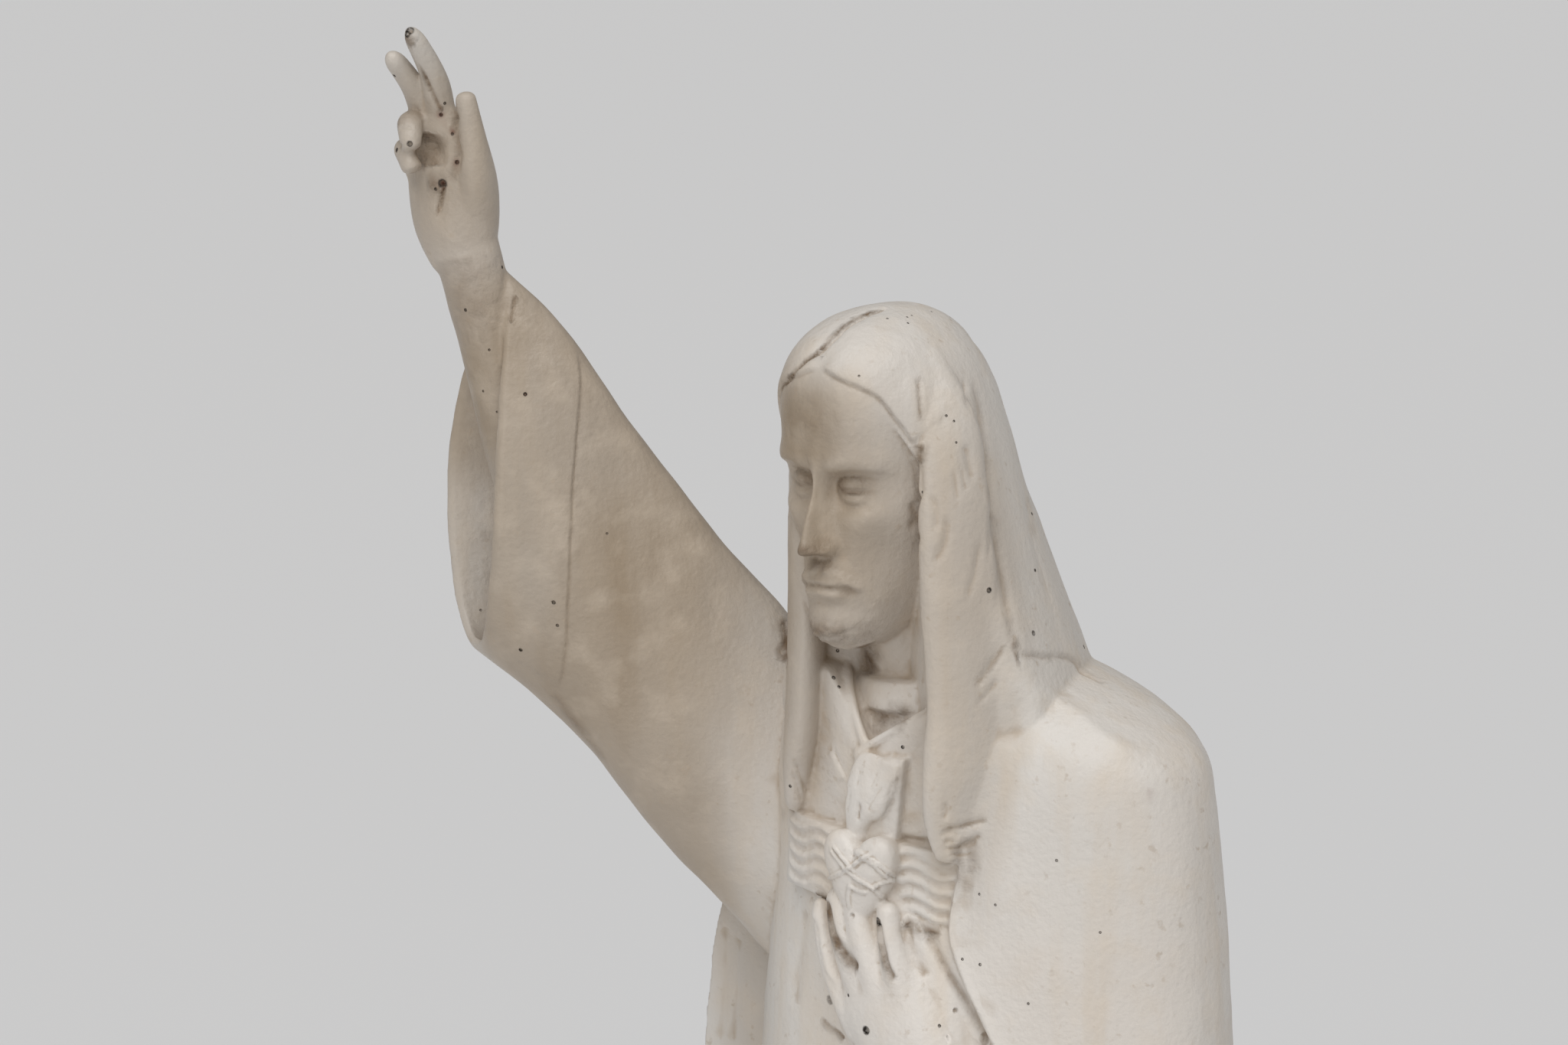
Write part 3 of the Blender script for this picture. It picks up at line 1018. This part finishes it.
p = places(statue.data)
nearest, gap = toHoles(p)
bowl = 1 - smooth(gap / holeSize[nearest], *holes["rim"])
p = p - holeWay[nearest] * (bowl * holeSize[nearest] * holes["deep"])[:, None]
# the finish stays inside the solid's own box
low, high = np.array(cadBox) / mm
p = np.clip(p, low + [0.02, 0.02, 0], high - 0.02)
statue.data.vertices.foreach_set("co", (p * mm).ravel())
statue.data.update()
statue.data.polygons.foreach_set("use_smooth", np.ones(len(statue.data.polygons), bool))


# where dirt has gathered: line, half width, strength
grimeLines = [
    (hairLines["parting"], 0.9, 1.0), (hairLines["rim"], 1.1, 0.5), (hairLines["temple"], 1.3, 0.5),
    (hairLines["besideCheek"], 2.0, 0.6), (hairLines["seam"], 2.5, 0.3), (hairLines["backValley"], 4.0, 0.2),
    ([(1201, 578), (1203, 592), (1200, 603)], 2.6, 0.9), (sleeveLines["wristCrease"], 1.2, 0.9),
    (sleeveLines["shoulderCrease"], 3.0, 0.9), (sleeveLines["band"], 1.2, 0.2),
    (handLines["betweenFingers"], 1.0, 1.0), (handLines["palmCrease"], 0.9, 1.0), (handLines["hollow"], 6.0, 1.0),
    (handLines["besideThumb"], 2.2, 0.6),
    ([(534, 34), (530, 46), (540, 60)], 3.0, 0.8), ([(560, 240), (577, 243)], 4.5, 0.7),
    ([(500, 80), (505, 92), (512, 100)], 3.0, 0.5), ([(548, 140), (530, 150), (524, 165)], 4.0, 0.5),
    (chestLines["stippled"], 2.6, 1.0), (chestLines["betweenFingers"], 2.0, 0.8),
    (chestLines["besideIndex"], 2.2, 0.25),
    (chestLines["knuckle"], 1.6, 0.7), (chestLines["cloakFoot"], 2.2, 0.5), (chestLines["hairFoot"], 2.4, 0.35),
    ([(1325, 834), (1326, 848), (1325, 861)], 1.3, 0.9), ([(1280, 1352), (1292, 1362)], 4.0, 0.9),
    ([(1178, 1204), (1196, 1212), (1214, 1217), (1232, 1220)], 2.2, 0.9), ([(1066, 1168), (1078, 1176)], 2.0, 0.9),
    ([(1127, 841), (1133, 862), (1143, 884)], 4.5, 0.9), ([(1133, 925), (1155, 936), (1190, 940)], 3.4, 0.75),
    ([(1140, 945), (1150, 958)], 3.0, 0.6), ([(1012, 770), (1016, 792)], 2.0, 0.9),
    (hairLines["marks"][6][0], 0.8, 0.5), (hairLines["marks"][13][0], 0.9, 0.5),
    ([(1249, 1100), (1252, 1124)], 2.4, 0.5),
    ([(1253, 1118), (1252, 1140), (1249, 1160)], 1.4, 0.6), ([(1262, 1090), (1270, 1130), (1256, 1160)], 3.5, 0.45),
    ([(1020, 1060), (1050, 1052)], 2.5, 0.35), ([(745, 610), (739, 690), (737, 760)], 7.0, 0.2),
    ([(640, 600), (634, 700), (632, 780)], 3.0, 0.25), ([(720, 905), (748, 940), (790, 995)], 3.5, 0.45),
    ([(606, 330), (618, 385), (644, 440)], 17.0, 0.34), ([(1150, 985), (1163, 1010), (1160, 1080)], 3.0, 0.2),
    ([(1340, 560), (1358, 650), (1372, 740)], 5.0, 0.22),
]
# the tip of the nose, the chin beard and both eyes hold a little more, in the head's own frame
faceGrime = [  # side, the same left and right, height, reach across, reach up, strength
    (0, face["noseFoot"] + 3, 5.5, 4.5, 0.8), (0, 84, 24, 16, 0.26), (0, 7, 12, 6, 0.75),
    (0, face["noseFoot"] - 3.5, 6, 2.2, 0.6), (0, face["mouth"], 8.5, 0.9, 0.5), (10, 22.5, 3.0, 2.5, 0.5),
    (face["eyeSide"] - 5, face["eye"] + 1, 3.4, 3.4, 0.7), (face["eyeSide"], face["eye"] + 1.5, 7.5, 3.0, 0.35),
    (face["eyeSide"], face["eye"] - 0.6, 6.2, 1.0, 0.75), (face["eyeSide"], face["eye"] + 4.6, 7.5, 1.1, 0.45),
]
# a yellowed film: where its middle is, how far it reaches on each axis, strength
agedPlaces = [
    ((-115, -40, 840), (60, 60, 95), 0.95), ((-150, -62, 925), (28, 28, 52), 1.0),
    ((-165, -72, 1005), (34, 34, 50), 0.80), ((-4, -58, 888), (32, 32, 52), 0.88),
    ((-10, -60, 920), (26, 16, 24), 1.0), ((-30, -36, 850), (16, 26, 80), 0.75),
    ((38, -36, 850), (24, 26, 90), 0.58), ((0, -24, 838), (26, 30, 18), 0.5), ((-82, 10, 680), (30, 70, 120), 0.5),
    ((52, 10, 870), (30, 50, 60), 0.2), ((95, -25, 750), (40, 50, 85), 0.15),
]
# it lies over the whole sleeve and is thinner on the sleeve's lip
sleeveFilm = {
    "strength": 0.8, "beyond": (52, 84), "above": (690, 740), "below": (955, 990),
    "lip": (146, 160), "lipBelow": (870, 900), "worn": 0.4,
}
rustSpots = [(686, 515, 1.3), (576, 150, 2.0), (591, 172, 1.6), (597, 212, 2.2), (1503, 1037, 1.6), (578, 240, 2.4)]

print("stage: dirt and shade")
corners = cornersOf(statue.data)
out = normals(statue.data)
tree = BVHTree.FromPolygons(p.tolist(), corners.tolist())


def keep(name, values):
    field = statue.data.attributes.new(name, "FLOAT", "POINT")
    field.data.foreach_set("value", np.clip(values, 0, 1).astype(np.float32))


def spread(values, rounds):
    # averages each vertex with its neighbours
    edges = np.empty(len(statue.data.edges) * 2, np.int32)
    statue.data.edges.foreach_get("vertices", edges)
    a, b = edges.reshape(-1, 2).T
    count = np.bincount(a, minlength=len(p)) + np.bincount(b, minlength=len(p))
    flat = values.ndim == 1
    values = values[:, None] if flat else values
    for _ in range(rounds):
        total = [np.bincount(a, column[b], len(p)) + np.bincount(b, column[a], len(p)) for column in values.T]
        values = 0.5 * values + 0.5 * np.stack(total, 1) / np.maximum(count, 1)[:, None]
    return values[:, 0] if flat else values


surface["tree"] = tree
grime = np.zeros(len(p))
for pixels, wide, strength in grimeLines:
    hit, gap, _, run = near(laidOn(pixels), p, wide * 2.6)
    if len(hit):
        grime[hit] = np.maximum(grime[hit], strength * bell(gap, wide) * ends(run, 0.08))
inHead = (p - [*head["axis"], head["chin"]] - headMiddle) @ headTurn + headMiddle
onFace = inBox(inHead, (-26, -60, -4), (26, -22, 96))
for side, height, across, up, strength in faceGrime:
    spot = strength * bell(np.abs(inHead[:, 0]) - side, across) * bell(inHead[:, 2] - height, up) * onFace
    grime = np.maximum(grime, spot)
keep("grime", grime)

aged = np.zeros(len(p))
for at, reach, strength in agedPlaces:
    aged = np.maximum(aged, strength * np.exp(-(np.abs((p - at) / reach) ** 3).sum(1)))
along, z = -p[:, 0], p[:, 2]
film = sleeveFilm["strength"] * smooth(along, *sleeveFilm["beyond"]) * smooth(z, *sleeveFilm["above"])
aged = np.maximum(aged, film * (1 - smooth(z, *sleeveFilm["below"])))
aged *= 1 - sleeveFilm["worn"] * smooth(along, *sleeveFilm["lip"]) * (1 - smooth(z, *sleeveFilm["lipBelow"]))
keep("aged", aged)

rust = np.zeros(len(p))
for x, y, size in rustSpots:
    hit = seenAt(x, y, tree)[0]
    if hit is not None:
        rust = np.maximum(rust, bell(np.linalg.norm(p - np.array(hit), axis=1), size * 0.7))
keep("rust", rust)
nearest, gap = toHoles(p)
keep("hole", holeDark[nearest] * (1 - smooth(gap / holeSize[nearest], *holes["darkRim"])))

# how deep each spot lies under its surroundings, on a fine and a broad scale
dips = {"dip": (3, 1.6), "lie": (14, 0.5)}  # rounds of averaging, strength
for name, (rounds, strength) in dips.items():
    keep(name, 0.5 + strength * ((spread(p, rounds) - p) * out).sum(1))

# how much of the open sky each spot is shut off from, by rays over half a ball
sky = {"rays": 14, "quickRays": 6, "start": 0.4, "reach": 45.0}
rays = sky["rays"]
k = np.arange(rays) + 0.5
up, around = np.sqrt(1 - k / rays), math.pi * (1 + 5 ** 0.5) * k
flat = np.stack([np.cos(around) * np.sqrt(k / rays), np.sin(around) * np.sqrt(k / rays), up], 1)
side = np.cross(out, np.where(np.abs(out[:, 2:3]) < 0.9, [[0, 0, 1.0]], [[1.0, 0, 0]]))
side /= np.linalg.norm(side, axis=1)[:, None]
over = np.cross(out, side)
shade = np.zeros(len(p))
starts = (p + out * sky["start"]).tolist()
for a, b, c in flat:
    ways = (side * a + over * b + out * c).tolist()
    shade += [1.0 if tree.ray_cast(Vector(q), Vector(w), sky["reach"])[0] is not None else 0.0
              for q, w in zip(starts, ways)]
keep("shade", spread(shade / rays, 2))
print("stage: dressed", len(p), len(corners))


# the finish: old white paint on plaster, worn to a low shine
paint = {
    "cream": (0.73, 0.685, 0.635), "cool": (0.70, 0.685, 0.655), "warm": (0.66, 0.565, 0.455),
    "grime": (0.175, 0.118, 0.072), "shade": (0.42, 0.335, 0.25), "hole": (0.020, 0.014, 0.010),
    "rust": (0.16, 0.045, 0.022), "aged": (0.30, 0.224, 0.145), "roughness": (0.34, 0.52),
    "shine": 0.4, "bump": 0.8, "bumpDepth": 0.0016,
}
textures = {  # scale and detail of each noise
    "patches": (11.0, 3.0), "streaks": (60.0, 5.0), "fineGrain": (420.0, 6.0), "speckle": (260.0, 3.0),
    "broken": (150.0, 6.0), "coarse": (38.0, 5.0), "washed": (70.0, 8.0),
}
plaster = bpy.data.materials.new("paintedPlaster")
plaster.use_nodes = True
nodes, links = plaster.node_tree.nodes, plaster.node_tree.links
shader = nodes["Principled BSDF"]


def wire(source, target):
    links.new(source, target)


def fieldNode(name):
    made = nodes.new("ShaderNodeAttribute")
    made.attribute_name = name
    return made.outputs["Fac"]


def noiseNode(name, stretch=(1, 1, 1)):
    where = nodes.new("ShaderNodeTexCoord")
    shape = nodes.new("ShaderNodeMapping")
    shape.inputs["Scale"].default_value = stretch
    made = nodes.new("ShaderNodeTexNoise")
    made.inputs["Scale"].default_value, made.inputs["Detail"].default_value = textures[name]
    wire(where.outputs["Object"], shape.inputs["Vector"])
    wire(shape.outputs["Vector"], made.inputs["Vector"])
    return made.outputs[0]


def rangeNode(source, low, high, toLow=0.0, toHigh=1.0):
    made = nodes.new("ShaderNodeMapRange")
    for key, value in [("From Min", low), ("From Max", high), ("To Min", toLow), ("To Max", toHigh)]:
        made.inputs[key].default_value = value
    wire(source, made.inputs["Value"])
    return made.outputs["Result"]


def mathNode(kind, first, second):
    made = nodes.new("ShaderNodeMath")
    made.operation = kind
    for i, value in enumerate((first, second)):
        if isinstance(value, (int, float)):
            made.inputs[i].default_value = value
        else:
            wire(value, made.inputs[i])
    return made.outputs[0]


def times(first, second):
    return mathNode("MULTIPLY", first, second)


def mixNode(amount, first, second):
    made = nodes.new("ShaderNodeMix")
    made.data_type = "RGBA"
    for socket, value in ((made.inputs[6], first), (made.inputs[7], second)):
        if isinstance(value, tuple):
            socket.default_value = (*value, 1)
        else:
            wire(value, socket)
    wire(amount, made.inputs[0])
    return made.outputs[2]


patches = rangeNode(noiseNode("patches"), 0.40, 0.68)
streaks = noiseNode("streaks", (1, 1, 0.09))  # brush marks run up and down
fineGrain = noiseNode("fineGrain")
speckle = rangeNode(noiseNode("speckle"), 0.63, 0.73)
broken = rangeNode(noiseNode("broken"), 0.36, 0.62)
coarse = rangeNode(noiseNode("coarse"), 0.38, 0.66)

# cream paint in cooler and warmer patches, then the film, the shade and the dirt over it
colour = mixNode(times(patches, 0.7), paint["cream"], paint["cool"])
colour = mixNode(times(rangeNode(streaks, 0.50, 0.72), 0.55), colour, paint["warm"])
filmAmount = times(fieldNode("aged"), times(rangeNode(coarse, 0, 1, 0.94, 1.0),
                                            rangeNode(streaks, 0.35, 0.65, 1.0, 0.88)))
colour = mixNode(filmAmount, colour, paint["aged"])
colour = mixNode(rangeNode(fieldNode("shade"), 0.42, 0.98, 0.0, 0.42), colour, paint["shade"])
creviceAmount = times(rangeNode(fieldNode("dip"), 0.60, 0.95, 0.0, 0.75), rangeNode(broken, 0, 1, 0.45, 1))
colour = mixNode(creviceAmount, colour, paint["shade"])
lieAmount = times(rangeNode(fieldNode("lie"), 0.56, 0.95, 0.0, 0.5), rangeNode(coarse, 0, 1, 0.4, 1))
colour = mixNode(lieAmount, colour, paint["shade"])
grimeAmount = times(rangeNode(fieldNode("grime"), 0.08, 0.9),
                    mathNode("ADD", rangeNode(broken, 0, 1, 0.42, 1.0), times(speckle, 0.3)))
colour = mixNode(grimeAmount, colour, paint["grime"])
colour = mixNode(times(speckle, rangeNode(coarse, 0.2, 1.0, 0.14, 0.60)), colour, paint["shade"])
colour = mixNode(times(rangeNode(noiseNode("washed"), 0.50, 0.72), 0.30), colour, paint["warm"])
colour = mixNode(times(fieldNode("rust"), rangeNode(broken, 0, 1, 0.5, 1)), colour, paint["rust"])
colour = mixNode(fieldNode("hole"), colour, paint["hole"])
wire(colour, shader.inputs["Base Color"])

# dirt and holes are dull
worn = rangeNode(mathNode("ADD", times(streaks, 0.7), times(patches, 0.3)), 0.25, 0.75, *paint["roughness"])
dull = mathNode("MAXIMUM", fieldNode("hole"), fieldNode("grime"))
wire(mathNode("MAXIMUM", worn, dull), shader.inputs["Roughness"])
shader.inputs["Specular IOR Level"].default_value = paint["shine"]
bump = nodes.new("ShaderNodeBump")
bump.inputs["Strength"].default_value = paint["bump"]
bump.inputs["Distance"].default_value = paint["bumpDepth"]
relief = mathNode("ADD", times(streaks, 0.55), times(fineGrain, 0.30))
relief = mathNode("ADD", relief, times(times(broken, fieldNode("grime")), 0.9))
wire(relief, bump.inputs["Height"])
wire(bump.outputs["Normal"], shader.inputs["Normal"])
statue.data.materials.append(plaster)

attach(statue, "root")
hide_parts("statue")

# floor, lights, camera
print("stage: studio")
studioLook = {"floor": (0.775, 0.78, 0.79, 1), "dull": 0.9, "sky": (1.0, 0.965, 0.92, 1), "skyStrength": 0.22}
lamps = {  # kind, place, target, power, size
    "softSky": ("SUN", (0.9, -1.3, 3.3), (0, 0, 0.8), 2.05, 60),
    "frontFill": ("AREA", (0.35, -2.3, 0.85), (0, 0, 0.74), 6.5, 1.0),
}
floorSide = 40.0
floor = bpy.data.objects.new("floor", bpy.data.meshes.new("floor"))
corners = [(-1, -1), (1, -1), (1, 1), (-1, 1)]
floor.data.from_pydata([(x * floorSide, y * floorSide, 0) for x, y in corners], [], [(0, 1, 2, 3)])
bpy.context.scene.collection.objects.link(floor)
paper = bpy.data.materials.new("paleFloor")
paper.use_nodes = True
paper.node_tree.nodes["Principled BSDF"].inputs["Base Color"].default_value = studioLook["floor"]
paper.node_tree.nodes["Principled BSDF"].inputs["Roughness"].default_value = studioLook["dull"]
floor.data.materials.append(paper)

studio = bpy.data.worlds.new("studio")
bpy.context.scene.world = studio
studio.use_nodes = True
studio.node_tree.nodes["Background"].inputs["Color"].default_value = studioLook["sky"]
studio.node_tree.nodes["Background"].inputs["Strength"].default_value = studioLook["skyStrength"]
bpy.context.scene.view_settings.view_transform = "Standard"


def lampAt(name, kind, place, target, power, size):
    lamp = bpy.data.lights.new(name, kind)
    lamp.energy = power
    if kind == "SUN":
        lamp.angle = math.radians(size)
    else:
        lamp.size = size
    holder = bpy.data.objects.new(name, lamp)
    holder.location = place
    holder.rotation_euler = (Vector(target) - Vector(place)).to_track_quat("-Z", "Y").to_euler()
    bpy.context.scene.collection.objects.link(holder)


for name, lamp in lamps.items():
    lampAt(name, *lamp)

camera = bpy.data.objects.new("camera", bpy.data.cameras.new("camera"))
camera.data.sensor_width = photo["sensor"]
camera.data.lens = photo["sensor"] * photo["focal"] / photo["wide"]
camera.location = Vector(eye) * mm
camera.rotation_euler = (-Vector(toCamera)).to_track_quat("-Z", "Y").to_euler()
bpy.context.scene.collection.objects.link(camera)
bpy.context.scene.camera = camera
